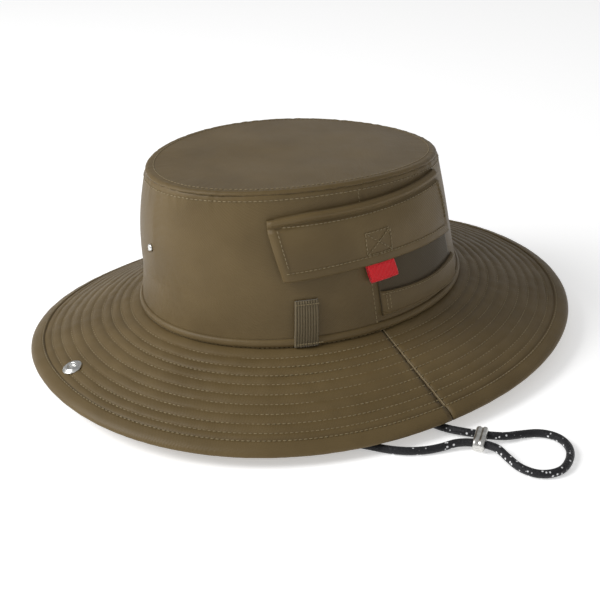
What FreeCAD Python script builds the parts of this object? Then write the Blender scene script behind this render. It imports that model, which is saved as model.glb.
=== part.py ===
import FreeCAD, Part
import os
from math import acos, atan2, cos, pi, radians, sin, tan

# A wide-brim bucket hat with a chin cord, in millimetres.
# Frame: origin on the floor under the middle of the hat, +Z up, -Y to the wearer's front
# (the side with the snap), +X to the wearer's left (the side with the pocket).

Vector = FreeCAD.Vector
doc = FreeCAD.newDocument("bucket_hat")
sheet = doc.addObject("Spreadsheet::Sheet", "sizes")

SIZES = [
    ("base_rx", 89.2, "crown half width at the brim seam"),
    ("base_ry", 105.2, "crown half length at the brim seam"),
    ("base_z", 36.8, "bottom of the crown side above the floor"),
    ("tip_z", 119.5, "top of the crown side, at its middle"),
    ("taper_x", 0.169, "crown side leans in by this share of its height, each side"),
    ("taper_y", 0.144, "the same, front and back"),
    ("lean_x", 0.014, "the crown's middle shifts this share of its height to the right"),
    ("lean_y", 0.030, "and this share of its height to the front"),
    ("tip_tilt", 3.3, "the tip slopes down to the back, degrees"),
    ("shell", 1.2, "crown cloth"),
    ("brim_in_rx", 86.0, "brim inner half width, under the crown seam"),
    ("brim_in_ry", 102.0, "brim inner half length"),
    ("brim_in_z", 33.5, "underside of the brim at its inner edge"),
    ("brim_rx", 156.7, "brim half width"),
    ("brim_ry", 177.0, "brim half length"),
    ("brim_power", 2.08, "superellipse power of the brim outline"),
    ("brim_ply", 0.7, "brim top and under cloth"),
    ("brim_core", 1.4, "brim interlining"),
    ("edge_foot", 0.6, "underside of the plies over the floor, right side"),
    ("edge_near", 2.8, "extra height of the left edge, which lies on the cord"),
    ("edge_ends", 12.0, "extra height of the front and back edges"),
    ("edge_twist", 2.0, "the left edge rises towards the back"),
    ("fold_y", 112.0, "the front brim folds up along a line this far forward"),
    ("flap_low", 74.0, "lower edge of the pocket flap"),
    ("flap_top", 109.2, "upper edge of the pocket flap"),
    ("flap_front", 57.5, "flap reach to the front"),
    ("flap_back", 62.0, "flap reach to the back"),
    ("stud_z", 82.0, "height of the snap stud"),
    ("socket_y", 160.0, "snap socket on the brim, forward of the middle"),
    ("cord_d", 4.5, "chin cord"),
    ("slider_z", 4.0, "height of the two cord holes in the slider"),
    ("hole_gap", 9.0, "slider holes, centre to centre"),
]
for row, (alias, value, meaning) in enumerate(SIZES, start=1):
    sheet.set(f"A{row}", meaning)
    sheet.set(f"B{row}", str(value))
    sheet.setAlias(f"B{row}", alias)
doc.recompute()
S = {alias: float(sheet.get(alias)) for alias, value, meaning in SIZES}

GAP = 0.1          # air between sewn layers, so that no two solids overlap
FAR = 260.0        # a box side that reaches past the whole hat
NODES = []


def made(thing, label):
    """Names a finished piece and lists it for writing."""
    thing.Label = label
    NODES.append(thing)
    return thing


def helper(kind, name, **values):
    """A document object with its sizes: a number is set, a text is bound to the sheet."""
    thing = doc.addObject(kind, name)
    for key, value in values.items():
        if isinstance(value, str):
            thing.setExpression(key, value)
        else:
            setattr(thing, key, value)
    return thing


def cut(name, base, tool):
    return helper("Part::Cut", name, Base=base, Tool=tool)


def common(name, base, tool):
    return helper("Part::Common", name, Base=base, Tool=tool)


# --- the crown's surface, as a leaning elliptic cone ------------------------------------------

def ellipse(name, height, offset):
    """The crown's outline at a height, offset outwards; both are sheet expressions."""
    rise = f"({height} - sizes.base_z)"
    ring = helper("Part::Ellipse", name)
    ring.Placement = FreeCAD.Placement(Vector(), FreeCAD.Rotation(Vector(0, 0, 1), 90))
    ring.setExpression("MajorRadius", f"sizes.base_ry - sizes.taper_y * {rise} + {offset}")
    ring.setExpression("MinorRadius", f"sizes.base_rx - sizes.taper_x * {rise} + {offset}")
    ring.setExpression("Placement.Base.x", f"-sizes.lean_x * {rise}")
    ring.setExpression("Placement.Base.y", f"-sizes.lean_y * {rise}")
    ring.setExpression("Placement.Base.z", f"{height}")
    return ring


def cone(name, low, high, offset):
    """A solid inside the crown's surface between two heights."""
    sections = [ellipse(name + "_low", low, offset), ellipse(name + "_high", high, offset)]
    return helper("Part::Loft", name, Sections=sections, Solid=True, Ruled=True)


def wall(name, low, high, inner, outer):
    """A shell that follows the crown between two heights and two offsets."""
    outside = cone(name + "_outside", low, high, outer)
    inside = cone(name + "_inside", f"({low} - 1)", f"({high} + 1)", inner)
    # The inner cone runs past both ends, so it is made from the same straight generators.
    return cut(name + "_wall", outside, inside)


def box(name, low, high, turn=0.0, tilt=0.0):
    """A cutting box from low to high corner, turned about Z or tilted about X through the origin."""
    block = helper("Part::Box", name)
    for key, a, b in zip(("Length", "Width", "Height"), low, high):
        block.setExpression(key, f"({b}) - ({a})")
    spin = FreeCAD.Rotation(Vector(0, 0, 1), turn) * FreeCAD.Rotation(Vector(1, 0, 0), tilt)
    corner = Vector(*[sheet_value(a) for a in low])
    block.Placement = FreeCAD.Placement(spin.multVec(corner), spin)
    return block


def sheet_value(text):
    """The value of a plain number or of an expression on the sheet."""
    cell = f"D{sheet_value.next_row}"
    sheet_value.next_row += 1
    sheet.set(cell, "=" + str(text).replace("sizes.", ""))
    sheet.recompute()
    return float(sheet.get(cell))


sheet_value.next_row = 1


def tip_slab(name, low, high):
    """A slab parallel to the sloping tip, low to high above the top of the crown side."""
    tilt = S["tip_tilt"]
    drop = cos(radians(tilt))
    return box(name, (-FAR, -FAR, f"sizes.tip_z * {drop} + {low}"),
               (FAR, FAR, f"sizes.tip_z * {drop} + {high}"), tilt=-tilt)


def crown():
    """Two side panels, the tip, their lining and the sweatband."""
    below_tip = tip_slab("below_tip", -FAR, 0)
    tall = "(sizes.tip_z + 12)"
    side = common("side_ring", wall("side", "sizes.base_z", tall, "(-sizes.shell)", "0"), below_tip)
    front = box("front_half", (-FAR, -FAR, 0), (FAR, -GAP, FAR))
    back = box("back_half", (-FAR, GAP, 0), (FAR, FAR, FAR))
    made(common("side_front", side, front), "crown_side_front")
    made(common("side_back", side, back), "crown_side_back")

    lining = wall("lining", "sizes.base_z", tall, "(-sizes.shell - 0.8)", f"(-sizes.shell - {GAP})")
    under_lining = tip_slab("under_lining", -FAR, -GAP)
    made(common("lining_ring", lining, under_lining), "crown_side_lining")

    top_low = "(sizes.tip_z - 14)"
    tip_body = cone("tip_body", top_low, tall, "0")
    made(common("tip", tip_body, tip_slab("tip_layer", GAP, 1.3)), "crown_tip")
    lining_body = cone("tip_lining_body", top_low, tall, "(-sizes.shell - 0.9)")
    made(common("tip_lining", lining_body, tip_slab("tip_lining_layer", -0.8, 0)), "crown_tip_lining")

    band = wall("band", "37.0", "64.0", "(-sizes.shell - 2.4)", "(-sizes.shell - 0.9)")
    made(band, "sweatband")
    label_wall = wall("label", "42.0", "60.0", "(-sizes.shell - 2.9)", "(-sizes.shell - 2.5)")
    made(common("label_cut", label_wall, box("label_box", (-9, 0, 0), (9, FAR, FAR))), "size_label")


# --- the pocket, its flap and the loop beside it ----------------------------------------------

def patch(label, inner, outer, low, high, front, back, turn=0.0):
    """A piece of cloth on the left of the crown, between two offsets, heights and Y limits."""
    ring = wall(label, low, high, str(inner), str(outer))
    window = box(label + "_window", (0, front, 0), (FAR, back, FAR), turn=turn)
    return made(common(label + "_piece", ring, window), label)


def pocket():
    """The pocket's two layers, its fastening patches, its flap and the red pull tab."""
    patch("pocket_back", 0.2, 0.9, "42.0", "100.0", 0.6, 63)
    patch("pocket_front", 1.3, 2.4, "42.0", "56.5", 0.6, 66)
    patch("pocket_loop_patch", 1.0, 2.0, "82.0", "96.0", 0.9, 11.5)
    top = "sizes.flap_top"
    low = "sizes.flap_low"
    patch("flap_welt", 0.2, 4.2, f"({top} + 0.5)", f"({top} + 4)", "-sizes.flap_front", "sizes.flap_back")
    patch("flap_outer", 4.2, 5.4, low, top, "-sizes.flap_front", "sizes.flap_back")
    patch("flap_lining", 3.5, 4.1, f"({low} + 1)", f"({top} - 0.6)",
          "-sizes.flap_front + 1", "sizes.flap_back - 1")
    patch("flap_hook_patch", 2.4, 3.4, "82.0", "96.0", -7.5, 11.5)
    patch("pull_tab", 1.3, 3.4, "64.5", "80.0", -8.0, 11.0)
    patch("utility_loop", 0.4, 2.0, "37.2", "62.0", -7.0, 7.0, turn=-29.3)


# --- the brim ----------------------------------------------------------------------------------

def brim_point(angle, share, lift):
    """A point of the brim: share 0 at the crown and 1 at the edge, lift above its underside."""
    c, s = cos(angle), sin(angle)
    power = 2 / S["brim_power"]
    out_x = S["brim_rx"] * abs(c) ** power * (1 if c >= 0 else -1)
    out_y = S["brim_ry"] * abs(s) ** power * (1 if s >= 0 else -1)
    near = 1 + c
    out_z = S["edge_foot"] + S["edge_near"] * near * c * c + S["edge_ends"] * s * s
    out_z += S["edge_twist"] * sin(2 * angle) * near / 2
    in_x, in_y = S["brim_in_rx"] * c, S["brim_in_ry"] * s
    return Vector(in_x + (out_x - in_x) * share,
                  in_y + (out_y - in_y) * share,
                  S["brim_in_z"] + (out_z - S["brim_in_z"]) * share + lift)


def brim_loop(share, lift):
    """A closed smooth curve round the brim."""
    count = 72
    points = [brim_point(2 * pi * i / count, share, lift) for i in range(count)]
    curve = Part.BSplineCurve()
    curve.interpolate(Points=points, PeriodicFlag=True)
    return curve.toShape()


def brim_ring(name, share_in, share_out, low, high):
    """A closed ring of the brim between two shares of its width and two lifts."""
    corners = [brim_loop(share_in, low), brim_loop(share_out, low),
               brim_loop(share_out, high), brim_loop(share_in, high)]
    faces = [Part.makeRuledSurface(a, b) for a, b in zip(corners, corners[1:] + corners[:1])]
    solid = Part.makeSolid(Part.makeShell([face.Faces[0] for face in faces]))
    if solid.Volume < 0:
        solid.reverse()
    ring = doc.addObject("Part::Feature", name)
    ring.Shape = solid
    return ring


def brim():
    """Three plies and the edge binding, divided at the side seams and at the front fold."""
    ply, core = S["brim_ply"], S["brim_core"]
    top_low = ply + core + 2 * GAP
    top_high = top_low + ply
    plies_end = 0.985
    fold = "-sizes.fold_y"
    fixed = box("fixed_zone", (-FAR, f"{fold} + 0.3", -5), (FAR, FAR, 60))
    front = box("front_zone", (-FAR, f"{fold} + 0.3", -5), (FAR, -GAP, 60))
    back = box("back_zone", (-FAR, GAP, -5), (FAR, FAR, 60))
    turned = box("turned_zone", (-FAR, -FAR, -5), (FAR, f"{fold} - 0.3", 60))

    top = brim_ring("top_ring", 0, plies_end, top_low, top_high)
    under = brim_ring("under_ring", 0, plies_end, 0, ply)
    middle = brim_ring("core_ring", 0, plies_end, ply + GAP, ply + GAP + core)
    for ring, word in ((top, "top"), (under, "under")):
        for zone, place in ((front, "front"), (back, "back"), (turned, "turnup")):
            made(common(f"{word}_{place}_cut", ring, zone), f"brim_{word}_{place}")
    made(common("core_fixed_cut", middle, fixed), "brim_core")
    made(common("core_turned_cut", middle, turned), "brim_core_turnup")

    wrap = brim_ring("binding_outside", 0.925, 1.0, -0.6, top_high + 0.6)
    room = brim_ring("binding_room", 0.90, 0.99, -0.05, top_high + 0.05)
    channel = cut("binding_channel", wrap, room)
    made(common("binding_fixed_cut", channel, fixed), "brim_binding")
    made(common("binding_turned_cut", channel, turned), "brim_binding_turnup")
    return top_high


# --- the snap ------------------------------------------------------------------------------------

def crown_front_y(height):
    """Y of the crown's cloth at the front, at x = 0."""
    rise = height - S["base_z"]
    return -(S["base_ry"] - S["taper_y"] * rise) - S["lean_y"] * rise


def stack(name, foot, direction, discs):
    """Round discs on one axis: each is (start, radius, length) from foot along direction."""
    rods = []
    for i, (start, radius, length) in enumerate(discs):
        rod = helper("Part::Cylinder", f"{name}_{i}", Radius=float(radius), Height=float(length))
        rod.Placement = FreeCAD.Placement(foot + direction * start,
                                          FreeCAD.Rotation(Vector(0, 0, 1), direction))
        rods.append(rod)
    if len(rods) == 1:
        return rods[0]
    return helper("Part::MultiFuse", name, Shapes=rods)


def snap(brim_top):
    """The stud on the crown with its back plate, and the socket on the brim with its cap."""
    lean = atan2(S["taper_y"] - S["lean_y"], 1)
    out = Vector(0, -cos(lean), sin(lean))
    foot = Vector(0, crown_front_y(S["stud_z"]), S["stud_z"])
    made(stack("stud", foot, out, [(0.15, 4.8, 0.9), (0.8, 2.0, 2.2), (2.2, 2.35, 1.0)]), "snap_stud")
    made(stack("stud_back", foot, out, [(-3.3, 5.0, 0.9)]), "snap_stud_back")

    width = S["brim_ry"] - S["brim_in_ry"]
    share = (S["socket_y"] - S["brim_in_ry"]) / width
    inner, outer = brim_point(-pi / 2, 0, brim_top), brim_point(-pi / 2, 1, brim_top)
    along = (outer - inner).normalize()
    up = Vector(0, -along.z, along.y)
    up = up if up.z > 0 else up * -1
    seat = brim_point(-pi / 2, share, brim_top)
    ring = stack("socket_body", seat, up, [(0.15, 6.0, 0.9), (0.9, 4.6, 0.9)])
    hole = stack("socket_hole", seat, up, [(0.6, 2.5, 3.0)])
    made(cut("socket", ring, hole), "snap_socket")
    made(stack("cap", seat, up, [(-brim_top - 1.2, 6.3, 1.0)]), "snap_cap")


# --- the chin cord -------------------------------------------------------------------------------

FLOOR = S["cord_d"] / 2
HOLD = S["slider_z"]

# Each point of the cord's route, from the left anchor, out under the brim, through the slider,
# round the loop, back through the slider and round under the front brim to the right anchor.
ROUTE = [
    (81.3, 0.0, 33.0),
    (81.3, 0.0, 19.0),
    (88.5, -1.0, 6.0),
    (102.0, -3.5, FLOOR),
    (118.0, -8.0, FLOOR),
    (136.0, -9.0, FLOOR),
    (152.0, -5.5, FLOOR),
    (166.0, 0.8, HOLD),
    (181.0, 14.0, HOLD),
    (183.0, 26.0, FLOOR),
    (188.0, 36.5, FLOOR),
    (198.0, 41.5, FLOOR),
    (209.0, 38.5, FLOOR),
    (217.0, 30.0, FLOOR),
    (221.5, 19.5, FLOOR),
    (217.5, 9.0, FLOOR),
    (207.5, 4.5, FLOOR),
    (196.5, 5.5, FLOOR),
    (185.5, 6.0, HOLD),
    (171.5, -6.3, HOLD),
    (168.5, -18.5, FLOOR),
    (163.5, -31.0, FLOOR),
    (154.5, -41.5, FLOOR),
    (142.0, -50.0, FLOOR),
    (126.0, -64.0, FLOOR),
    (110.0, -84.0, FLOOR),
    (88.0, -103.0, FLOOR),
    (60.0, -117.5, FLOOR),
    (28.0, -125.5, FLOOR),
    (-5.0, -127.0, FLOOR),
    (-38.0, -122.0, FLOOR),
    (-67.0, -110.5, FLOOR),
    (-90.0, -93.0, FLOOR),
    (-105.0, -69.0, FLOOR),
    (-112.0, -43.0, FLOOR),
    (-111.5, -21.0, FLOOR),
    (-102.0, -6.0, FLOOR),
    (-89.0, -1.0, 6.0),
    (-81.3, 0.0, 19.0),
    (-81.3, 0.0, 33.0),
]


def slider_frame():
    """The slider's middle, the way along the cord and the way across both strands."""
    upper = (Vector(*ROUTE[7]) + Vector(*ROUTE[8])) * 0.5
    lower = (Vector(*ROUTE[18]) + Vector(*ROUTE[19])) * 0.5
    along = (Vector(*ROUTE[8]) - Vector(*ROUTE[7])).normalize()
    across = Vector(-along.y, along.x, 0)
    return (upper + lower) * 0.5, along, across


def cord_path():
    """Straight runs joined by tangent arcs, and the radius of each arc."""
    points = [Vector(*p) for p in ROUTE]
    edges, radii = [], []
    start = points[0]
    for before, corner, after in zip(points, points[1:], points[2:]):
        back, ahead = before - corner, after - corner
        turn = pi - acos(max(-1, min(1, back.dot(ahead) / (back.Length * ahead.Length))))
        reach = 0.45 * min(back.Length, ahead.Length)
        radii.append(reach / tan(turn / 2))
        a = corner + back.normalize() * reach
        b = corner + ahead.normalize() * reach
        inward = (back + ahead).normalize()
        middle = corner + inward * (radii[-1] / cos(turn / 2) - radii[-1])
        edges.append(Part.LineSegment(start, a).toShape())
        edges.append(Part.Arc(a, middle, b).toShape())
        start = b
    edges.append(Part.LineSegment(start, points[-1]).toShape())
    return Part.Wire(edges), radii


def cord():
    """The cord, the two anchors it is sewn into and the slider on its two strands."""
    path, radii = cord_path()
    radius = S["cord_d"] / 2
    first, second = Vector(*ROUTE[0]), Vector(*ROUTE[1])
    profile = Part.Wire([Part.makeCircle(radius, first, second - first)])
    tube = path.makePipeShell([profile], True, True)
    ideal = pi * radius ** 2 * path.Length
    print(f"cord length {path.Length:.1f}, volume over ideal {tube.Volume / ideal:.4f}")
    print("cord radii", [round(r, 1) for r in radii])
    piece = doc.addObject("Part::Feature", "cord_tube")
    piece.Shape = tube
    made(piece, "chin_cord")

    for sign, side in ((1, "left"), (-1, "right")):
        low_x = 78.6 if sign > 0 else -83.8
        tab = box("anchor_" + side, (low_x, -6.0, 33.0), (low_x + 5.2, 6.0, 45.0))
        made(tab, "cord_anchor_" + side)

    middle, along, across = slider_frame()
    long_side, deep, tall = 19.0, 6.5, 7.9
    block = helper("Part::Box", "slider_block", Length=long_side, Width=deep, Height=tall)
    turn = FreeCAD.Rotation(across, -along, Vector(0, 0, 1), "XYZ")
    corner = middle - across * (long_side / 2) + along * (deep / 2)
    corner.z = S["slider_z"] - tall / 2
    block.Placement = FreeCAD.Placement(corner, turn)
    round_block = doc.addObject("Part::Fillet", "slider_round")
    round_block.Base = block
    doc.recompute()
    upright = [i + 1 for i, e in enumerate(block.Shape.Edges)
               if abs(e.tangentAt(e.FirstParameter).dot(along)) > 0.99]
    round_block.Edges = [(i, 3.6, 3.6) for i in upright]
    holes = []
    for sign in (1, -1):
        foot = middle + across * (sign * S["hole_gap"] / 2) - along * 10
        hole = helper("Part::Cylinder", "slider_hole" + ("_a" if sign > 0 else "_b"), Radius=2.6, Height=20.0)
        hole.Placement = FreeCAD.Placement(foot, FreeCAD.Rotation(Vector(0, 0, 1), along))
        holes.append(hole)
    bores = helper("Part::MultiFuse", "slider_holes", Shapes=holes)
    made(cut("slider", round_block, bores), "cord_slide")


def write_all():
    """Checks every object and writes one STEP file for each piece."""
    doc.recompute()
    for thing in doc.Objects:
        if "Invalid" in thing.State or "Error" in thing.State:
            raise RuntimeError(f"{thing.Name} failed: {thing.State}")
    os.makedirs("parts", exist_ok=True)
    for piece in NODES:
        shape = piece.Shape
        if shape.isNull() or not shape.isValid() or not shape.Solids:
            raise RuntimeError(f"{piece.Label} is not a sound solid")
        shape.exportStep(os.path.join("parts", piece.Label + ".step"))
    print(len(NODES), "pieces")


crown()
pocket()
brim_top_height = brim()
snap(brim_top_height)
cord()
write_all()
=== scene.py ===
from math import cos, pi, radians, sin

import bmesh
import bpy
import numpy as np
from mathutils import Matrix, Vector, noise


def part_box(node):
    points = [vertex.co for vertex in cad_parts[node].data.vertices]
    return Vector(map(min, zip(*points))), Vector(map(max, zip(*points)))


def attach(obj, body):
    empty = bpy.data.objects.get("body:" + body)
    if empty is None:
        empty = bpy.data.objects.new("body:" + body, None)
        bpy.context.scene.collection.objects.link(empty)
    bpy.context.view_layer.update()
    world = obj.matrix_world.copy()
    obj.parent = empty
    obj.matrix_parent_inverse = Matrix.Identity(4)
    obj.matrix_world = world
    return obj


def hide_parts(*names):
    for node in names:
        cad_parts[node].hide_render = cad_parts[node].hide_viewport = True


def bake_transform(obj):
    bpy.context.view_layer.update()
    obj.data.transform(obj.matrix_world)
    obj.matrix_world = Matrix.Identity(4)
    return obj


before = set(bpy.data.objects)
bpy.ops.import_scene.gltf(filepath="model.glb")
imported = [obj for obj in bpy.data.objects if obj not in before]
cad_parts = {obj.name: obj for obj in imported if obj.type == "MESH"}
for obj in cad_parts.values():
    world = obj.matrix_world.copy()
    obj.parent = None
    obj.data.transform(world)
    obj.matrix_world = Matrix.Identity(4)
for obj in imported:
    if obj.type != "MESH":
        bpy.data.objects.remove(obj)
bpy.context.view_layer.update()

# The bucket hat's looks. Metres and the CAD's frame: +Z up, -Y to the wearer's front, +X to the
# wearer's left, where the pocket is. Angles run from +X towards +Y, seen from above.

MM = 0.001


# --- camera, light and floor ---------------------------------------------------------------------

CAMERA_AT = (0.5696, -0.3381, 0.3495)
CAMERA_TURN, CAMERA_RISE, CAMERA_ROLL = 59.49, 26.59, -2.48     # degrees
CAMERA_LENS = 67.78                                             # mm on a 36 mm sensor


def camera_axes():
    """The camera's right, up and backward directions."""
    turn, rise, roll = radians(CAMERA_TURN), radians(CAMERA_RISE), radians(CAMERA_ROLL)
    back = Vector((sin(turn) * cos(rise), -cos(turn) * cos(rise), sin(rise)))
    right = Vector((cos(turn), sin(turn), 0))
    up = back.cross(right)
    return right * cos(roll) + up * sin(roll), up * cos(roll) - right * sin(roll), back


def make_camera():
    data = bpy.data.cameras.new("camera")
    data.lens = CAMERA_LENS
    data.sensor_width = 36
    data.clip_start = 0.01
    camera = bpy.data.objects.new("camera", data)
    bpy.context.collection.objects.link(camera)
    right, up, back = camera_axes()
    turn = Matrix((right, up, back)).transposed().to_4x4()
    camera.matrix_world = Matrix.Translation(CAMERA_AT) @ turn
    bpy.context.scene.camera = camera


def area_light(name, place, target, size, watts, colour=(1, 1, 1)):
    data = bpy.data.lights.new(name, "AREA")
    data.size = size
    data.energy = watts
    data.color = colour
    lamp = bpy.data.objects.new(name, data)
    bpy.context.collection.objects.link(lamp)
    way = Vector(place) - Vector(target)
    lamp.rotation_euler = way.to_track_quat("Z", "Y").to_euler()
    lamp.location = place


def make_studio():
    """A white floor and surround, a large key light on the left and a weak fill."""
    right, up, back = camera_axes()
    flat_back = Vector((back.x, back.y, 0)).normalized()
    middle = Vector((0, 0, 0.08))
    key = middle - right * 1.15 + flat_back * 0.35 + Vector((0, 0, 0.85))
    area_light("key", key, middle, 0.7, 17)
    fill = middle + right * 0.3 + flat_back * 1.6 + Vector((0, 0, 0.7))
    area_light("fill", fill, middle, 1.2, 1.2)
    world = bpy.data.worlds.new("world")
    bpy.context.scene.world = world
    world.use_nodes = True
    world.node_tree.nodes["Background"].inputs["Color"].default_value = (1, 1, 1, 1)
    world.node_tree.nodes["Background"].inputs["Strength"].default_value = 0.38
    mesh = bpy.data.meshes.new("floor")
    half = 6.0
    corners = [(-half, -half, 0), (half, -half, 0), (half, half, 0), (-half, half, 0)]
    mesh.from_pydata(corners, [], [(0, 1, 2, 3)])
    floor = bpy.data.objects.new("floor", mesh)
    bpy.context.collection.objects.link(floor)
    paint = bpy.data.materials.new("floor_paint")
    paint.use_nodes = True
    shader = paint.node_tree.nodes["Principled BSDF"]
    shader.inputs["Base Color"].default_value = (0.93, 0.93, 0.93, 1)
    shader.inputs["Roughness"].default_value = 0.9
    shader.inputs["Emission Color"].default_value = (1, 1, 1, 1)
    shader.inputs["Emission Strength"].default_value = 0.42
    mesh.materials.append(paint)
    bpy.context.scene.view_settings.view_transform = "Standard"


# --- materials -----------------------------------------------------------------------------------

def shader_of(name, roughness, metallic=0.0, sheen=0.0, coat=0.0):
    material = bpy.data.materials.new(name)
    material.use_nodes = True
    shader = material.node_tree.nodes["Principled BSDF"]
    shader.inputs["Roughness"].default_value = roughness
    shader.inputs["Metallic"].default_value = metallic
    shader.inputs["Sheen Weight"].default_value = sheen
    shader.inputs["Sheen Roughness"].default_value = 0.4
    shader.inputs["Coat Weight"].default_value = coat
    shader.inputs["Specular IOR Level"].default_value = 0.5 if metallic else 0.3
    return material, material.node_tree.nodes, material.node_tree.links, shader


def noise_node(nodes, links, scale, detail=3.0, stretch=(1, 1, 1)):
    place = nodes.new("ShaderNodeTexCoord")
    mapping = nodes.new("ShaderNodeMapping")
    mapping.inputs["Scale"].default_value = stretch
    links.new(place.outputs["Object"], mapping.inputs["Vector"])
    texture = nodes.new("ShaderNodeTexNoise")
    texture.inputs["Scale"].default_value = scale
    texture.inputs["Detail"].default_value = detail
    links.new(mapping.outputs["Vector"], texture.inputs["Vector"])
    return texture.outputs["Fac"]


def ramp_node(nodes, links, factor, stops):
    ramp = nodes.new("ShaderNodeValToRGB")
    while len(ramp.color_ramp.elements) < len(stops):
        ramp.color_ramp.elements.new(0.5)
    for element, (place, colour) in zip(ramp.color_ramp.elements, stops):
        element.position = place
        element.color = (*colour, 1)
    links.new(factor, ramp.inputs["Fac"])
    return ramp.outputs["Color"]


def cloth(name, dark, light, roughness=0.5, sheen=0.25, weave=2600.0, bump=0.35, patch=28.0):
    """Woven cloth: two close tones in soft patches, a fine twill bump and uneven gloss."""
    material, nodes, links, shader = shader_of(name, roughness, sheen=sheen)
    colour = ramp_node(nodes, links, noise_node(nodes, links, patch, 5.0), [(0.3, dark), (0.7, light)])
    links.new(colour, shader.inputs["Base Color"])
    place = nodes.new("ShaderNodeTexCoord")
    waves = []
    for turn in (0.6, -0.95):
        mapping = nodes.new("ShaderNodeMapping")
        mapping.inputs["Rotation"].default_value = (turn, 0.5 * turn, turn)
        links.new(place.outputs["Object"], mapping.inputs["Vector"])
        wave = nodes.new("ShaderNodeTexWave")
        wave.inputs["Scale"].default_value = weave / 6.0
        wave.inputs["Distortion"].default_value = 0.6
        links.new(mapping.outputs["Vector"], wave.inputs["Vector"])
        waves.append(wave.outputs["Fac"])
    add = nodes.new("ShaderNodeMath")
    add.operation = "ADD"
    links.new(waves[0], add.inputs[0])
    links.new(waves[1], add.inputs[1])
    grain = nodes.new("ShaderNodeMath")
    grain.operation = "MULTIPLY_ADD"
    links.new(noise_node(nodes, links, weave / 2.0, 2.0), grain.inputs[0])
    grain.inputs[1].default_value = 1.4
    links.new(add.outputs[0], grain.inputs[2])
    bumps = nodes.new("ShaderNodeBump")
    bumps.inputs["Strength"].default_value = bump
    bumps.inputs["Distance"].default_value = 0.00012
    links.new(grain.outputs[0], bumps.inputs["Height"])
    links.new(bumps.outputs["Normal"], shader.inputs["Normal"])
    gloss = nodes.new("ShaderNodeMapRange")
    gloss.inputs["To Min"].default_value = roughness - 0.07
    gloss.inputs["To Max"].default_value = roughness + 0.09
    links.new(noise_node(nodes, links, 60.0, 4.0), gloss.inputs["Value"])
    links.new(gloss.outputs["Result"], shader.inputs["Roughness"])
    return material


def metal(name, tone, roughness, scratch=320.0):
    """Bright metal with fine scratches and dull patches."""
    material, nodes, links, shader = shader_of(name, roughness, metallic=1.0)
    wear = noise_node(nodes, links, scratch, 6.0, (1, 1, 4))
    darker = tuple(0.72 * value for value in tone)
    links.new(ramp_node(nodes, links, wear, [(0.35, darker), (0.6, tone)]), shader.inputs["Base Color"])
    gloss = nodes.new("ShaderNodeMapRange")
    gloss.inputs["To Min"].default_value = roughness - 0.08
    gloss.inputs["To Max"].default_value = roughness + 0.14
    links.new(wear, gloss.inputs["Value"])
    links.new(gloss.outputs["Result"], shader.inputs["Roughness"])
    return material


def braid():
    """Black braided cord with small pale reflective flecks."""
    material, nodes, links, shader = shader_of("cord_braid", 0.6, sheen=0.2)
    place = nodes.new("ShaderNodeTexCoord")
    cells = nodes.new("ShaderNodeTexVoronoi")
    cells.inputs["Scale"].default_value = 330.0
    links.new(place.outputs["Object"], cells.inputs["Vector"])
    flecks = ramp_node(nodes, links, cells.outputs["Distance"],
                       [(0.16, (0.75, 0.75, 0.76)), (0.24, (0.012, 0.012, 0.014))])
    links.new(flecks, shader.inputs["Base Color"])
    bumps = nodes.new("ShaderNodeBump")
    bumps.inputs["Strength"].default_value = 0.8
    bumps.inputs["Distance"].default_value = 0.0004
    strands = nodes.new("ShaderNodeTexVoronoi")
    strands.inputs["Scale"].default_value = 900.0
    links.new(place.outputs["Object"], strands.inputs["Vector"])
    links.new(strands.outputs["Distance"], bumps.inputs["Height"])
    links.new(bumps.outputs["Normal"], shader.inputs["Normal"])
    return material


OLIVE_DARK, OLIVE_LIGHT = (0.108, 0.072, 0.026), (0.142, 0.097, 0.038)
SHELL = cloth("shell_cloth", OLIVE_DARK, OLIVE_LIGHT, roughness=0.48, sheen=0.06)
# The pocket back under the flap is the shell's fabric drawn darker: painted shade where the flap shadows it.
POCKET_PAINTED_SHADE = cloth("pocket_cloth_painted_shade", (0.060, 0.043, 0.020), (0.075, 0.054, 0.026), roughness=0.6, sheen=0.1)
# Stitch thread: a pale tone, partly the thread's own colour and partly painted highlight on the raised
# stitches.
THREAD_WITH_PAINTED_HIGHLIGHT = cloth("thread", (0.20, 0.150, 0.075), (0.30, 0.235, 0.125), roughness=0.55, weave=5200, patch=400)
PALE_THREAD = cloth("pale_thread", (0.24, 0.18, 0.09), (0.36, 0.28, 0.15), roughness=0.5, weave=5200,
                    patch=400)
LINING = cloth("lining_cloth", (0.035, 0.027, 0.016), (0.052, 0.041, 0.024), roughness=0.75, sheen=0.1)
BAND = cloth("sweatband_cloth", (0.022, 0.018, 0.013), (0.034, 0.029, 0.021), roughness=0.8, sheen=0.2)
ELASTIC = cloth("elastic", (0.118, 0.090, 0.048), (0.158, 0.124, 0.070), roughness=0.7, weave=1800, bump=0.6)
RED = cloth("red_webbing", (0.62, 0.008, 0.014), (0.80, 0.014, 0.022), roughness=0.55, weave=1500, bump=1.0)
HOOKS = cloth("hook_loop", (0.030, 0.024, 0.014), (0.050, 0.040, 0.024), roughness=0.9, bump=1.0)
PAPER = cloth("label_cloth", (0.50, 0.48, 0.43), (0.58, 0.56, 0.50), roughness=0.7)
NICKEL = metal("snap_metal", (0.80, 0.80, 0.78), 0.24)
BRIGHT = metal("slider_metal", (0.74, 0.73, 0.70), 0.28)
CORD = braid()


# --- mesh helpers --------------------------------------------------------------------------------

def add_piece(name, verts, faces, material):
    mesh = bpy.data.meshes.new(name)
    mesh.from_pydata([tuple(v) for v in verts], [], faces)
    mesh.validate()
    mesh.materials.append(material)
    mesh.polygons.foreach_set("use_smooth", [True] * len(mesh.polygons))
    mesh.update()
    piece = bpy.data.objects.new(name, mesh)
    bpy.context.collection.objects.link(piece)
    return piece


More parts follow.
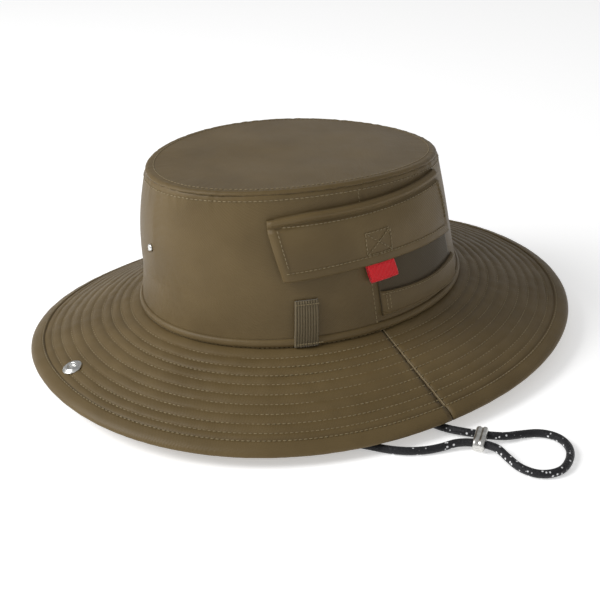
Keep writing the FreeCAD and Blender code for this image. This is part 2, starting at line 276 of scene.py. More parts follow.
def shell(name, top, bottom, material, closed=False):
    """A closed skin between two grids of points; closed joins the last row to the first."""
    rows, columns = top.shape[:2]
    count = rows * columns
    verts = np.concatenate([top.reshape(-1, 3), bottom.reshape(-1, 3)])
    faces = []
    for i in range(rows if closed else rows - 1):
        j = (i + 1) % rows
        for k in range(columns - 1):
            a, b = i * columns + k, j * columns + k
            faces.append((a, a + 1, b + 1, b))
            faces.append((count + a, count + b, count + b + 1, count + a + 1))
        for k in (0, columns - 1):
            a, b = i * columns + k, j * columns + k
            rim = (a, b, count + b, count + a)
            faces.append(rim if k == 0 else rim[::-1])
    if not closed:
        for i in (0, rows - 1):
            for k in range(columns - 1):
                a = i * columns + k
                rim = (a, count + a, count + a + 1, a + 1)
                faces.append(rim if i == 0 else rim[::-1])
    return add_piece(name, verts, faces, material)


def stitches(name, runs, material, pitch=3.3 * MM, length=2.5 * MM, radius=0.27 * MM):
    """Thread stitches along runs of points, each run a list of points on the cloth."""
    sides = 5
    rings = ((-0.5, 0.4), (-0.3, 1.0), (0.3, 1.0), (0.5, 0.4))
    verts, faces = [], []
    for run in runs:
        points = np.array([tuple(p) for p in run])
        steps = np.linalg.norm(np.diff(points, axis=0), axis=1)
        along = np.concatenate([[0], np.cumsum(steps)])
        for middle in np.arange(pitch / 2, along[-1], pitch):
            ends = [np.array([np.interp(middle + side * length / 2, along, points[:, axis])
                              for axis in range(3)]) for side in (-1, 1)]
            way = Vector(ends[1] - ends[0]).normalized()
            side = way.orthogonal().normalized()
            other = way.cross(side)
            centre = Vector((ends[0] + ends[1]) / 2)
            first = len(verts)
            for place, size in rings:
                for turn in range(sides):
                    angle = 2 * pi * turn / sides
                    reach = (side * cos(angle) + other * sin(angle)) * radius * size
                    verts.append(centre + way * length * place + reach)
            for ring in range(len(rings) - 1):
                for turn in range(sides):
                    a = first + ring * sides + turn
                    b = first + ring * sides + (turn + 1) % sides
                    faces.append((a, b, b + sides, a + sides))
            faces.append(tuple(range(first + sides - 1, first - 1, -1)))
            last = first + (len(rings) - 1) * sides
            faces.append(tuple(range(last, last + sides)))
    return add_piece(name, verts, faces, material)


def lathe(name, profile, foot, axis, material, turns=56):
    """A turned shape; profile lists (radius, height) in mm, from the top middle to the bottom middle."""
    axis = Vector(axis).normalized()
    side = axis.orthogonal().normalized()
    other = axis.cross(side)
    verts, faces = [], []
    for radius, height in profile[1:-1]:
        for i in range(turns):
            angle = 2 * pi * i / turns
            reach = (side * cos(angle) + other * sin(angle)) * radius * MM
            verts.append(Vector(foot) + axis * height * MM + reach)
    top = len(verts)
    verts.append(Vector(foot) + axis * profile[0][1] * MM)
    verts.append(Vector(foot) + axis * profile[-1][1] * MM)
    rings = len(profile) - 2
    for i in range(turns):
        j = (i + 1) % turns
        faces.append((top, i, j))
        faces.append((top + 1, (rings - 1) * turns + j, (rings - 1) * turns + i))
        for ring in range(rings - 1):
            a, b = ring * turns, (ring + 1) * turns
            faces.append((a + i, b + i, b + j, a + j))
    return add_piece(name, verts, faces, material)


def ripple(point, scale, seed=0.0):
    """Smooth noise between about -1 and 1."""
    return noise.noise(Vector(point) * scale + Vector((seed, 2 * seed, -seed)))


# --- the hat's surfaces, as the CAD has them -----------------------------------------------------

BASE_RX, BASE_RY, BASE_Z = 0.0892, 0.1052, 0.0368
TAPER_X, TAPER_Y, LEAN_X, LEAN_Y = 0.169, 0.144, 0.014, 0.030


def tip_height(angle):
    """Where the crown side meets the tip: highest at the front and left."""
    return (119.0 + 2.0 * cos(2 * angle) + 2.0 * cos(angle) - 5.5 * sin(angle)) * MM


def crown_at(angle, height, out=0.0):
    """A point of the crown's side, out of its surface by out."""
    rise = height - BASE_Z
    rx, ry = BASE_RX - TAPER_X * rise, BASE_RY - TAPER_Y * rise
    flat = Vector((cos(angle) / rx, sin(angle) / ry, 0)).normalized()
    point = Vector((rx * cos(angle) - LEAN_X * rise, ry * sin(angle) - LEAN_Y * rise, height))
    return point + (flat + Vector((0, 0, 0.16))).normalized() * out


BRIM_POWER = 2 / 2.08
EDGE_RX, EDGE_RY = 0.1567, 0.177
INNER_RX, INNER_RY, INNER_Z = 0.086, 0.102, 0.0335


def brim_at(angle, share, lift=0.0):
    """A point of the brim: share 0 at the crown and 1 at the edge, lift above its underside."""
    c, s = cos(angle), sin(angle)
    out_x = EDGE_RX * abs(c) ** BRIM_POWER * (1 if c >= 0 else -1)
    out_y = EDGE_RY * abs(s) ** BRIM_POWER * (1 if s >= 0 else -1)
    near = 1 + c
    out_z = (0.6 + 2.8 * near * c * c + 12 * s * s + sin(2 * angle) * near) * MM
    in_x, in_y = INNER_RX * c, INNER_RY * s
    return Vector((in_x + (out_x - in_x) * share, in_y + (out_y - in_y) * share,
                   INNER_Z + (out_z - INNER_Z) * share + lift))


# --- the chin cord and its slider ----------------------------------------------------------------

CORD_D = 0.0045
FLOOR = CORD_D / 2
HOLD = 0.004
ROUTE = [
    (0.0813, 0.0, 0.033), (0.0813, 0.0, 0.019), (0.0885, -0.001, 0.006), (0.102, -0.0035, FLOOR),
    (0.118, -0.008, FLOOR), (0.136, -0.009, FLOOR), (0.152, -0.0055, FLOOR), (0.166, 0.0008, HOLD),
    (0.181, 0.014, HOLD), (0.183, 0.026, FLOOR), (0.188, 0.0365, FLOOR), (0.198, 0.0415, FLOOR),
    (0.209, 0.0385, FLOOR), (0.217, 0.030, FLOOR), (0.2215, 0.0195, FLOOR), (0.2175, 0.009, FLOOR),
    (0.2075, 0.0045, FLOOR), (0.1965, 0.0055, FLOOR), (0.1855, 0.006, HOLD), (0.1715, -0.0063, HOLD),
    (0.1685, -0.0185, FLOOR), (0.1635, -0.031, FLOOR), (0.1545, -0.0415, FLOOR), (0.142, -0.050, FLOOR),
    (0.126, -0.064, FLOOR), (0.110, -0.084, FLOOR), (0.088, -0.103, FLOOR), (0.060, -0.1175, FLOOR),
    (0.028, -0.1255, FLOOR), (-0.005, -0.127, FLOOR), (-0.038, -0.122, FLOOR), (-0.067, -0.1105, FLOOR),
    (-0.090, -0.093, FLOOR), (-0.105, -0.069, FLOOR), (-0.112, -0.043, FLOOR), (-0.1115, -0.021, FLOOR),
    (-0.102, -0.006, FLOOR), (-0.089, -0.001, 0.006), (-0.0813, 0.0, 0.019), (-0.0813, 0.0, 0.033),
]


def make_slider():
    """The oblong metal slider with two cord holes and a groove round it."""
    upper = (Vector(ROUTE[7]) + Vector(ROUTE[8])) / 2
    lower = (Vector(ROUTE[18]) + Vector(ROUTE[19])) / 2
    along = (Vector(ROUTE[8]) - Vector(ROUTE[7])).normalized()
    across = Vector((-along.y, along.x, 0))
    middle = (upper + lower) / 2
    half_long, half_tall, half_deep = 0.0093, 0.00395, 0.00325
    turns, rings = 72, 25
    top, verts, faces = half_long - half_tall, [], []
    for ring in range(rings):
        place = -1 + 2 * ring / (rings - 1)
        shrink = 0.0011 * abs(place) ** 6 + 0.00055 * max(0.0, 1 - (place / 0.3) ** 2)
        for i in range(turns):
            angle = 2 * pi * i / turns
            radius = half_tall - shrink
            shift = top * (1 if cos(angle) > 0 else -1) if abs(cos(angle)) > 1e-6 else 0.0
            side = across * (shift + radius * cos(angle))
            verts.append(middle + along * (place * half_deep) + side + Vector((0, 0, radius * sin(angle))))
    for ring in range(rings - 1):
        for i in range(turns):
            a, b = ring * turns + i, ring * turns + (i + 1) % turns
            faces.append((a, b, b + turns, a + turns))
    faces.append(tuple(range(turns - 1, -1, -1)))
    faces.append(tuple(range((rings - 1) * turns, rings * turns)))
    slider = add_piece("cord_slider_metal", verts, faces, BRIGHT)
    for sign in (1, -1):
        bpy.ops.mesh.primitive_cylinder_add(vertices=40, radius=0.0025, depth=0.02)
        drill = bpy.context.object
        drill.matrix_world = (Matrix.Translation(middle + across * sign * 0.0045)
                              @ along.to_track_quat("Z", "Y").to_matrix().to_4x4())
        cutter = slider.modifiers.new("hole", "BOOLEAN")
        cutter.object = drill
        cutter.solver = "EXACT"
        bpy.context.view_layer.update()
        seen = slider.evaluated_get(bpy.context.evaluated_depsgraph_get())
        mesh = bpy.data.meshes.new_from_object(seen)
        slider.modifiers.clear()
        slider.data = mesh
        bpy.data.objects.remove(drill)
    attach(slider, "cord_slider")
    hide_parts("cord_slide")
    return slider


def make_cord():
    data = bpy.data.curves.new("chin_cord_braid", "CURVE")
    data.dimensions = "3D"
    data.bevel_depth = CORD_D / 2
    data.bevel_resolution = 5
    data.use_fill_caps = True
    data.resolution_u = 10
    spline = data.splines.new("NURBS")
    spline.points.add(len(ROUTE) - 1)
    for point, place in zip(spline.points, ROUTE):
        point.co = (*place, 1)
    spline.order_u = 3
    spline.use_endpoint_u = True
    data.materials.append(CORD)
    rope = bpy.data.objects.new("chin_cord_braid", data)
    bpy.context.collection.objects.link(rope)
    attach(rope, "hat")
    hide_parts("chin_cord")
    make_slider()


make_camera()
make_studio()
make_cord()


# --- the brim ------------------------------------------------------------------------------------

ROWS = [0.05, 0.15, 0.233, 0.312, 0.394, 0.486, 0.572, 0.657, 0.740, 0.820]
BINDING_FROM = 0.885
TOP_LIFT = 3.0 * MM
SEAM_GAP = 0.0022          # half the angle left open at each side seam


def quilting(share):
    """How far the cloth rises between two stitch rows, 0 on a row and 1 midway."""
    marks = [-0.06] + ROWS + [BINDING_FROM]
    for low, high in zip(marks, marks[1:]):
        if low <= share <= high:
            return sin(pi * (share - low) / (high - low)) ** 0.6
    return 0.0


def brim_cloth(name, first, last):
    """Half of the brim: quilted on both faces, a little wavy, with rounded side seams."""
    turns, steps = 200, 92
    top = np.zeros((turns + 1, steps + 1, 3))
    bottom = np.zeros_like(top)
    for i in range(turns + 1):
        part = i / turns
        angle = first + (last - first) * part
        from_seam = min(part, 1 - part) * abs(last - first)
        dip = 0.9 * MM * max(0.0, 1 - from_seam / 0.012) ** 2
        for k in range(steps + 1):
            share = (BINDING_FROM + 0.012) * k / steps
            puff = 0.62 * MM * quilting(share)
            place = brim_at(angle, share)
            wave = 0.30 * MM * ripple(place, 55) + 0.22 * MM * ripple(place, 160, 4)
            top[i, k] = brim_at(angle, share, TOP_LIFT - 0.45 * MM + 1.35 * puff + wave - dip)
            bottom[i, k] = brim_at(angle, share, 0.25 * MM - 0.6 * puff + 0.5 * wave)
    return shell(name, top, bottom, SHELL)


def binding(name, first, last):
    """The turned and bound edge, a fat flat roll."""
    turns = 200
    profile = [(-0.004, 2.9), (0.004, 3.65), (0.03, 3.8), (0.07, 3.7), (0.098, 3.1), (0.113, 2.0),
               (0.115, 1.4), (0.113, 0.8), (0.098, -0.2), (0.07, -0.5), (0.03, -0.45),
               (0.004, -0.3), (-0.004, 0.3)]
    grid = np.zeros((turns + 1, len(profile), 3))
    for i in range(turns + 1):
        angle = first + (last - first) * i / turns
        place = brim_at(angle, 1.0)
        pucker = 0.14 * MM * ripple(place, 420) + 0.18 * MM * ripple(place, 90, 7)
        for k, (share, lift) in enumerate(profile):
            grid[i, k] = brim_at(angle, BINDING_FROM + share, lift * MM + (pucker if 0 < k < 12 else 0))
    verts = grid.reshape(-1, 3)
    count = len(profile)
    faces = []
    for i in range(turns):
        for k in range(count):
            a, b = i * count + k, i * count + (k + 1) % count
            faces.append((a, b, b + count, a + count))
    faces.append(tuple(range(count - 1, -1, -1)))
    faces.append(tuple(range(turns * count, (turns + 1) * count)))
    return add_piece(name, verts, faces, SHELL)


def bend_front(piece):
    """Bakes the front half's transform into its mesh."""
    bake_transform(piece)


def row_on_brim(share, first, last, lift):
    steps = 160
    return [brim_at(first + (last - first) * i / steps, share, lift) for i in range(steps + 1)]


def make_brim():
    front, back = (-pi + SEAM_GAP, -SEAM_GAP), (SEAM_GAP, pi - SEAM_GAP)
    halves = (("front", front), ("back", back))
    for word, (first, last) in halves:
        cloth_piece = brim_cloth("brim_cloth_" + word, first, last)
        edge = binding("brim_edge_" + word, first, last)
        top_rows = [row_on_brim(share, first, last, TOP_LIFT - 0.28 * MM) for share in ROWS]
        top_rows.append(row_on_brim(BINDING_FROM + 0.012, first, last, 3.86 * MM))
        low_rows = [row_on_brim(share, first, last, 0.12 * MM) for share in ROWS]
        sewn = stitches("brim_stitches_" + word, top_rows, THREAD_WITH_PAINTED_HIGHLIGHT, pitch=2.8 * MM,
                        length=1.9 * MM, radius=0.30 * MM)
        under = stitches("brim_stitches_under_" + word, low_rows, THREAD_WITH_PAINTED_HIGHLIGHT)
        if word == "front":
            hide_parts("brim_top_front", "brim_top_turnup", "brim_under_front",
                        "brim_under_turnup", "brim_core_turnup")
            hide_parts("brim_binding_turnup")
            for piece in (cloth_piece, edge, sewn, under):
                bend_front(piece)
        else:
            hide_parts("brim_top_back", "brim_under_back", "brim_core")
            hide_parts("brim_binding")
            for piece in (cloth_piece, edge, sewn, under):
                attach(piece, "hat")
    for side, angle in (("left", 0.0), ("right", pi)):
        line = [brim_at(angle + 0.0035, 0.02 + 0.87 * i / 60, TOP_LIFT - 0.05 * MM) for i in range(61)]
        thread = stitches("brim_seam_" + side, [line], PALE_THREAD, pitch=2.2 * MM,
                          length=2.3 * MM, radius=0.24 * MM)
        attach(thread, "hat")


# --- the crown -----------------------------------------------------------------------------------

POCKET_MIDDLE = 0.05       # radians
TIP_LEVEL = 0.119          # the mean height of the tip's seam


def crown_wrinkle(angle, height):
    """Soft folds of the side cloth, with gathers under the tip seam."""
    place = crown_at(angle, height)
    below = tip_height(angle) - height
    soft = 0.75 * MM * ripple((place.x, place.y, place.z * 0.45), 26)
    gathers = 0.60 * MM * ripple((angle * 3.0, 0, 0), 7.5) * max(0.0, 1 - below / 0.016)
    at_pocket = max(0.0, cos(angle - POCKET_MIDDLE)) ** 0.5
    fullness = 2.6 * MM * (1 - at_pocket) * sin(pi * min(1.0, max(0.0, (below - 0.0005) / 0.060))) ** 0.8
    return (soft + gathers) * min(1.0, (height - BASE_Z + 0.002) / 0.012) + fullness


def make_crown():
    turns, steps = 288, 56
    outside = np.zeros((turns, steps + 1, 3))
    inside = np.zeros_like(outside)
    lining_out, lining_in = np.zeros_like(outside), np.zeros_like(outside)
    for i in range(turns):
        angle = 2 * pi * i / turns
        top = tip_height(angle)
        seam = max(0.0, 1 - min(abs(sin(angle / 2)), abs(cos(angle / 2))) / 0.012)
        for k in range(steps + 1):
            part = k / steps
            height = BASE_Z - 0.001 + (top - BASE_Z + 0.001) * part
            roll = 1.4 * MM * max(0.0, (part - 0.965) / 0.035) ** 2
            out = crown_wrinkle(angle, height) - roll - 0.5 * MM * seam
            outside[i, k] = crown_at(angle, height, out)
            inside[i, k] = crown_at(angle, height, out - 1.1 * MM)
            lining_height = min(height, top - 1.6 * MM)
            lining_out[i, k] = crown_at(angle, lining_height, -1.7 * MM + 0.35 * out)
            lining_in[i, k] = crown_at(angle, lining_height, -2.3 * MM + 0.35 * out)
    side = shell("crown_side_cloth", inside, outside, SHELL, closed=True)
    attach(side, "hat")
    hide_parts("crown_side_front", "crown_side_back")
    lining = shell("crown_lining_cloth", lining_in, lining_out, LINING, closed=True)
    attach(lining, "hat")
    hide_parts("crown_side_lining")

    for name, lift, inset, thick, material, slot, node in (
            ("crown_tip_cloth", 0.9, 0.0, 1.1, SHELL, "shell_cloth", "crown_tip"),
            ("crown_tip_lining_cloth", -1.0, 2.4, 0.6, LINING, "lining_cloth", "crown_tip_lining")):
        piece = tip_disc(name, lift * MM, inset * MM, thick * MM, material)
        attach(piece, "hat")
        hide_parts(node)

    rows = []
    steps = 260
    below_seam, proud = 4.3 * MM, 0.22 * MM
    row = []
    for i in range(steps + 1):
        angle = 2 * pi * i / steps
        height = tip_height(angle) - below_seam
        row.append(crown_at(angle, height, crown_wrinkle(angle, height) + proud))
    rows.append(row)
    rows.append([tip_point(2 * pi * i / steps, 0.945, 1.05 * MM, 0) for i in range(steps + 1)])
    for angle, offset in ((0, -0.028), (pi, -0.028), (pi, 0.028)):
        high = tip_height(angle) - 5 * MM
        rows.append([crown_at(angle + offset, 0.039 + (high - 0.039) * i / 40,
                              crown_wrinkle(angle + offset, 0.039 + (high - 0.039) * i / 40) + 0.1 * MM)
                     for i in range(41)])
    sewn = stitches("crown_stitches", rows, THREAD_WITH_PAINTED_HIGHLIGHT, pitch=2.9 * MM, length=2.1 * MM)
    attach(sewn, "hat")


def tip_point(angle, share, lift, inset):
    """A point of the tip: share 0 in the middle and 1 at its seam."""
    height = tip_height(angle)
    rim = crown_at(angle, height, -inset)
    middle = crown_at(0, TIP_LEVEL, 0) + crown_at(pi, TIP_LEVEL, 0)
    middle = middle + crown_at(pi / 2, TIP_LEVEL, 0) + crown_at(-pi / 2, TIP_LEVEL, 0)
    middle = middle / 4
    point = middle + (rim - middle) * share
    level = TIP_LEVEL + (height - TIP_LEVEL) * share ** 1.3
    dome = 1.3 * MM * (1 - share ** 2)
    soft = 0.7 * MM * ripple((point.x, point.y, 0), 24, 3) * (1 - share ** 6)
    gathers = 0.45 * MM * ripple((angle * 3.0, 1.5, 0), 8) * share ** 10
    roll = 1.3 * MM * max(0.0, (share - 0.975) / 0.025) ** 2
    point.z = level + dome + soft + gathers - roll + lift
    return point


def tip_disc(name, lift, inset, thick, material):
    turns, rings = 288, 46
    verts, faces = [], []
    shares = [1 - (1 - i / rings) ** 1.5 for i in range(1, rings + 1)]
    for level in (0, -thick):
        verts.append(tip_point(0, 0, lift + level, inset))
        for share in shares:
            for i in range(turns):
                verts.append(tip_point(2 * pi * i / turns, share, lift + level, inset))
    layer = 1 + rings * turns
    for start, flip in ((0, False), (layer, True)):
        for i in range(turns):
            j = (i + 1) % turns
            tri = (start, start + 1 + i, start + 1 + j)
            faces.append(tri[::-1] if flip else tri)
            for ring in range(rings - 1):
                a = start + 1 + ring * turns
                quad = (a + i, a + turns + i, a + turns + j, a + j)
                faces.append(quad[::-1] if flip else quad)
    edge = 1 + (rings - 1) * turns
    for i in range(turns):
        j = (i + 1) % turns
        faces.append((edge + i, layer + edge + i, layer + edge + j, edge + j))
    return add_piece(name, verts, faces, material)


def make_band():
    """The sweatband inside, and the raised welt outside, where crown and brim meet."""
    turns, steps = 240, 24
    top = np.zeros((turns, steps + 1, 3))
    bottom = np.zeros_like(top)
    for i in range(turns):
        angle = 2 * pi * i / turns
        for k in range(steps + 1):
            part = k / steps
            height = 0.0372 + 0.0265 * part
            puff = 0.5 * MM * sin(pi * part) ** 0.5
            top[i, k] = crown_at(angle, height, -2.5 * MM)
            soft = 0.15 * MM * ripple((angle * 3, part, 0), 7)
            bottom[i, k] = crown_at(angle, height, -3.1 * MM - puff - soft)
    band = shell("sweatband_cloth", bottom, top, BAND, closed=True)
    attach(band, "hat")
    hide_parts("sweatband")
    rows = [[crown_at(2 * pi * i / turns, height, -3.3 * MM) for i in range(turns + 1)]
            for height in (0.0392, 0.0618)]
    sewn = stitches("sweatband_stitches", rows, THREAD_WITH_PAINTED_HIGHLIGHT)
    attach(sewn, "hat")

    profile = [(0.1, 0.0352), (1.5, 0.0356), (2.0, 0.0370), (1.8, 0.0386), (0.9, 0.0398),
               (-0.4, 0.0400), (-0.6, 0.036)]
    count = len(profile)
    verts, faces = [], []
    for i in range(turns):
        angle = 2 * pi * i / turns
        pucker = 0.16 * MM * ripple((angle * 3, 4, 0), 8)
        for out, height in profile:
            verts.append(crown_at(angle, height, out * MM + pucker))
    for i in range(turns):
        j = (i + 1) % turns
        for k in range(count):
            m = (k + 1) % count
            faces.append((i * count + k, j * count + k, j * count + m, i * count + m))
    welt = add_piece("crown_base_welt", verts, faces, SHELL)
    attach(welt, "hat")


# --- the pocket ----------------------------------------------------------------------------------

def flap_edges(part):
    """The flap's front and back ends at a share of its height, 0 at the top."""
    return radians(-36.0 + 4.0 * part), radians(40.5 + 1.5 * part)


def flap_low(angle):
    """The flap's lower edge droops towards its ends."""
    return 0.0762 - 0.0030 * (abs(angle) / 0.65) ** 2


def make_flap():
    """The flap with its folded top edge: from the roll down over a groove to the hemmed lower edge."""
    # the roll's section: (mm above flap_top, mm out of the crown)
    roll = [(4.4, 0.3), (5.0, 2.0), (4.6, 3.9), (3.3, 4.9), (1.9, 4.8), (0.9, 3.6), (0.3, 2.9), (-0.5, 3.3)]
    body_steps, columns = 34, 110
    flap_top = 0.1072
    rows = len(roll) + body_steps
    top = np.zeros((columns + 1, rows, 3))
    bottom = np.zeros_like(top)
    for i in range(columns + 1):
        across = i / columns
        for k in range(rows):
            if k < len(roll):
                part = 0.0
                height, out = flap_top + roll[k][0] * MM, roll[k][1] * MM
            else:
                part = (k - len(roll) + 1) / body_steps
            first, last = flap_edges(part)
            angle = first + (last - first) * across
            sink = 0.0030 * max(0.0, 1 - across / 0.22) ** 1.5
            edge = min(across, 1 - across) * 120 * MM
            if k >= len(roll):
                low = flap_low(angle)
                height = flap_top - 0.9 * MM + (low - flap_top + 0.9 * MM) * part
                hem = min(edge, height - low) / (4.6 * MM)
                rise = 0.45 * MM * (1 if hem < 0.9 else max(0.0, 1 - (hem - 0.9) * 4))
                out = 4.5 * MM + rise + 0.55 * MM * ripple((angle * 1.2, height * 20, 0), 3.4, 5)
                out += 0.9 * MM * sin(pi * part) ** 1.2
            height -= sink * (1 - part)
            fade = 0.75 + 0.25 * min(1.0, edge / (2.5 * MM))
            spot = crown_at(angle, height, out * fade)
            top[i, k] = spot
            inner = 0.25 * MM if k < len(roll) - 3 else max(0.9 * MM, out * fade - 1.7 * MM)
            under = height - (0.0 if k else 0.2 * MM)
            bottom[i, k] = crown_at(angle, under, min(inner, out * fade - 0.1 * MM))
    flap = shell("pocket_flap_cloth", top, bottom, SHELL)
    fix_normals(flap)
    bend_flap(flap)
    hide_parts("flap_outer", "flap_welt", "flap_lining")

    def on_flap(angle, height):
        part = (flap_top - height) / (flap_top - flap_low(angle))
        out = 4.95 * MM + 0.9 * MM * sin(pi * min(1, max(0, part))) ** 1.2
        out += 0.55 * MM * ripple((angle * 1.2, height * 20, 0), 3.4, 5)
        return crown_at(angle, height, out + 0.02 * MM)

    rows = []
    first, last = flap_edges(0.5)
    inset = 5.0 * MM / 0.095
    along = [first + inset + (last - first - 2 * inset) * i / 60 for i in range(61)]
    rows.append([on_flap(a, flap_low(a) + 5.0 * MM) for a in along])
    rows.append([crown_at(a, flap_top - 1.6 * MM, 4.75 * MM) for a in along])
    for end, sign in ((0, 1), (1, -1)):
        heights = [0.1045 - 0.0225 * i / 20 for i in range(21)]
        rows.append([on_flap(flap_edges((flap_top - h) / 0.034)[end] + sign * inset, h) for h in heights])
    box_low, box_high, box_a, box_b = 0.0820, 0.0950, radians(-3.2), radians(6.4)
    corners = [(box_a, box_low), (box_b, box_low), (box_b, box_high), (box_a, box_high)]
    lines = [(corners[n], corners[(n + 1) % 4]) for n in range(4)]
    lines += [(corners[0], corners[2]), (corners[1], corners[3])]
    for (a0, h0), (a1, h1) in lines:
        rows.append([on_flap(a0 + (a1 - a0) * i / 12, h0 + (h1 - h0) * i / 12) for i in range(13)])
    sewn = stitches("pocket_flap_stitches", rows, THREAD_WITH_PAINTED_HIGHLIGHT, pitch=2.6 * MM, length=1.9 * MM)
    bend_flap(sewn)


def fix_normals(piece):
    """Turns every face outwards."""
    work = bmesh.new()
    work.from_mesh(piece.data)
    bmesh.ops.recalc_face_normals(work, faces=work.faces)
    work.to_mesh(piece.data)
    work.free()


def bend_flap(piece):
    """Bakes the flap's transform into its mesh."""
    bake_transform(piece)


def cloth_patch(name, first, last, low_at, high_at, out_at, back, material, columns=60, steps=20):
    """A patch on the crown: low_at and high_at by angle, out_at its surface by (across, up)."""
    top = np.zeros((columns + 1, steps + 1, 3))
    bottom = np.zeros_like(top)
    for i in range(columns + 1):
        across = i / columns
        angle = first + (last - first) * across
        for k in range(steps + 1):
            up = k / steps
            height = low_at(angle) + (high_at(angle) - low_at(angle)) * up
            top[i, k] = crown_at(angle, height, out_at(across, up) * MM)
            bottom[i, k] = crown_at(angle, height, back * MM)
    piece = shell(name, top, bottom, material)
    fix_normals(piece)
    return piece


def make_pocket():
    start, end = radians(0.7), radians(45.0)

    def mouth(angle):
        return 0.0583 - 0.0040 * sin(min(1.0, angle / radians(30)) * pi / 2) + 0.0012 * (angle / end) ** 4

    def fold(angle):
        return 0.0447 - 0.0030 * min(1.0, angle / radians(40))

    def front_out(across, up):
        rim = min(across, 1 - across, 0.05) / 0.05
        lip = 0.6 * max(0.0, (up - 0.86) / 0.14)
        return 0.7 + (1.9 + lip + 0.5 * sin(pi * up)) * rim ** 0.4

    # The pocket back takes the darker cloth, which is painted shade from the flap above it.
    back = cloth_patch("pocket_back_cloth", start, radians(42), lambda a: 0.044, lambda a: 0.100,
                       lambda across, up: 0.95 + 0.15 * sin(pi * across), 0.1, POCKET_PAINTED_SHADE)
    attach(back, "hat")
    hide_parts("pocket_back")
    front = cloth_patch("pocket_front_cloth", start, end, fold, mouth, front_out, 0.9, SHELL)
    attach(front, "hat")
    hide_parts("pocket_front")
    hem = cloth_patch("pocket_front_fold", start, end, lambda a: fold(a) - 0.0015,
                      lambda a: fold(a) + 0.0012, lambda across, up: 1.0 + 2.2 * sin(pi * up),
                      0.3, SHELL, steps=8)
    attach(hem, "hat")
    rows = [[crown_at(start + radians(turn), 0.0465 + 0.010 * i / 10, 3.0 * MM) for i in range(11)]
            for turn in (1.7, 3.0)]
    along = [start + (end - start) * i / 60 for i in range(61)]
    rows.append([crown_at(angle, mouth(angle) - 1.2 * MM, 3.25 * MM) for angle in along])
    sewn = stitches("pocket_stitches", rows, THREAD_WITH_PAINTED_HIGHLIGHT, pitch=2.4 * MM, length=1.7 * MM)
    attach(sewn, "hat")


def make_pull_tab():
    """A loop of red webbing folded under the flap's lower edge."""
    profile = [(0.0790, 4.0), (0.0740, 4.4), (0.0700, 4.7), (0.0672, 4.7), (0.0656, 4.1), (0.0650, 3.1),
               (0.0656, 2.1), (0.0672, 1.5), (0.0700, 1.4), (0.0740, 1.4), (0.0790, 1.5)]
    columns = 30
    outer = np.zeros((columns + 1, len(profile), 3))
    inner = np.zeros_like(outer)
    for i in range(columns + 1):
        across = i / columns
        for k, (height, out) in enumerate(profile):
            angle = radians(-3.9 + 10.6 * across) + (0.079 - height) * 1.6
            rib = 0.12 * MM * sin(across * 60 + height * 9000)
            outer[i, k] = crown_at(angle, height, out * MM + rib)
            toward = 0.9 * (1 if k < 5 else -1 if k > 5 else 0)
            inner[i, k] = crown_at(angle, height + (0.9 * MM if k in (4, 5, 6) else 0), (out - toward) * MM)
    tab = shell("pull_tab_webbing", outer, inner, RED)
    fix_normals(tab)
    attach(tab, "pocket_flap")
    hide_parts("pull_tab")


def make_utility_loop():
    """A strip of ribbed elastic, sewn down at both ends and bowed a little between."""
    middle, half, ribs = radians(-25.0), radians(3.85), 9
    columns, steps = 108, 24
    top = np.zeros((columns + 1, steps + 1, 3))
    bottom = np.zeros_like(top)
    for i in range(columns + 1):
        across = i / columns
        rib = abs(sin(pi * ribs * across)) ** 0.7
        for k in range(steps + 1):
            up = k / steps
            height = 0.0352 + 0.0268 * up
            bow = 2.0 * sin(pi * up) ** 0.7
            angle = middle + (across * 2 - 1) * half - radians(1.5) * (1 - up)
            base = 1.1 if up > 0.08 else 2.2
            top[i, k] = crown_at(angle, height, (base + bow + 0.75 * rib) * MM)
            bottom[i, k] = crown_at(angle, height, (base - 0.7 + bow) * MM)
    loop = shell("utility_loop_elastic", top, bottom, ELASTIC)
    fix_normals(loop)
    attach(loop, "hat")
    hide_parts("utility_loop")
    rows = [[crown_at(middle + (2 * i / 10 - 1) * half, height, out * MM) for i in range(11)]
            for height, out in ((0.0600, 2.9), (0.0372, 3.7))]
    sewn = stitches("utility_loop_stitches", rows, THREAD_WITH_PAINTED_HIGHLIGHT, pitch=1.6 * MM, length=1.3 * MM)
    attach(sewn, "hat")


# --- the snap and the carried-over nodes ---------------------------------------------------------

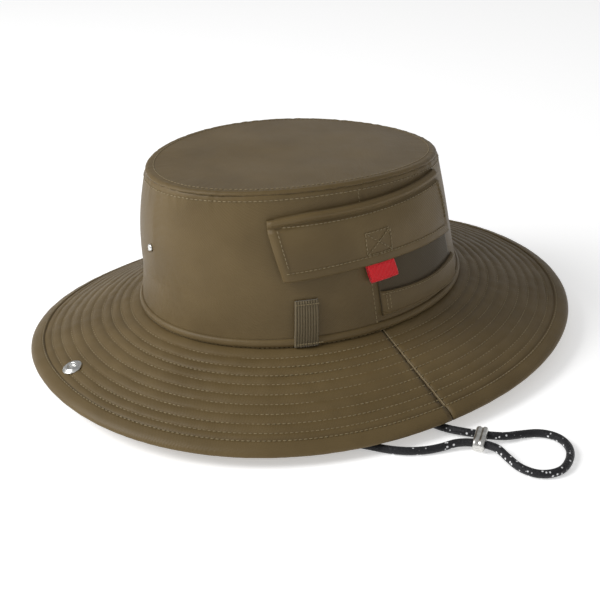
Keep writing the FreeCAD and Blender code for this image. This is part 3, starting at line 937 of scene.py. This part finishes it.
def make_snap():
    stud_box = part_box("snap_stud")
    height = (stud_box[0][2] + stud_box[1][2]) / 2
    foot = crown_at(-pi / 2, height)
    out = (crown_at(-pi / 2, height, 0.01) - foot).normalized()
    profile = [(0, 3.5), (1.3, 3.45), (2.1, 3.1), (2.4, 2.6), (2.2, 2.1), (1.8, 1.8), (1.8, 1.4), (3.0, 1.3),
               (4.2, 1.2), (4.75, 0.9), (4.9, 0.5), (4.8, 0.1), (0, 0.1)]
    stud = lathe("snap_stud_metal", profile, foot + out * 0.3 * MM, out, NICKEL)
    fix_normals(stud)
    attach(stud, "hat")
    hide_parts("snap_stud")

    socket_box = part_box("snap_socket")
    middle_y = (socket_box[0][1] + socket_box[1][1]) / 2
    share = (abs(middle_y) - INNER_RY) / (EDGE_RY - INNER_RY)
    seat = brim_at(-pi / 2, share, TOP_LIFT)
    along = brim_at(-pi / 2, 1) - brim_at(-pi / 2, 0)
    up = along.cross(Vector((1, 0, 0))).normalized()
    up = up if up.z > 0 else -up
    profile = [(0, 0.6), (2.1, 0.6), (2.4, 0.9), (2.5, 1.7), (2.9, 2.0), (3.6, 2.1), (4.3, 1.9), (4.7, 1.4),
               (5.3, 1.2), (5.9, 1.0), (6.1, 0.6), (6.0, 0.1), (0, 0.1)]
    socket = lathe("snap_socket_metal", profile, seat, up, NICKEL)
    fix_normals(socket)
    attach(socket, "brim_turnup")
    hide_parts("snap_socket")


def finish_nodes():
    """Gives the small CAD nodes that stay their own procedural material."""
    kept = {"snap_stud_back": NICKEL, "snap_cap": NICKEL, "pocket_loop_patch": HOOKS,
            "flap_hook_patch": HOOKS, "cord_anchor_left": SHELL,
            "cord_anchor_right": SHELL, "size_label": PAPER}
    for node, material in kept.items():
        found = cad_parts[node]
        piece = found if isinstance(found, bpy.types.Object) else bpy.data.objects[node]
        if not piece.material_slots:
            piece.data.materials.append(material)
        for slot in piece.material_slots:
            slot.material = material


make_brim()
make_crown()
make_band()
make_flap()
make_pocket()
make_pull_tab()
make_utility_loop()
make_snap()
finish_nodes()
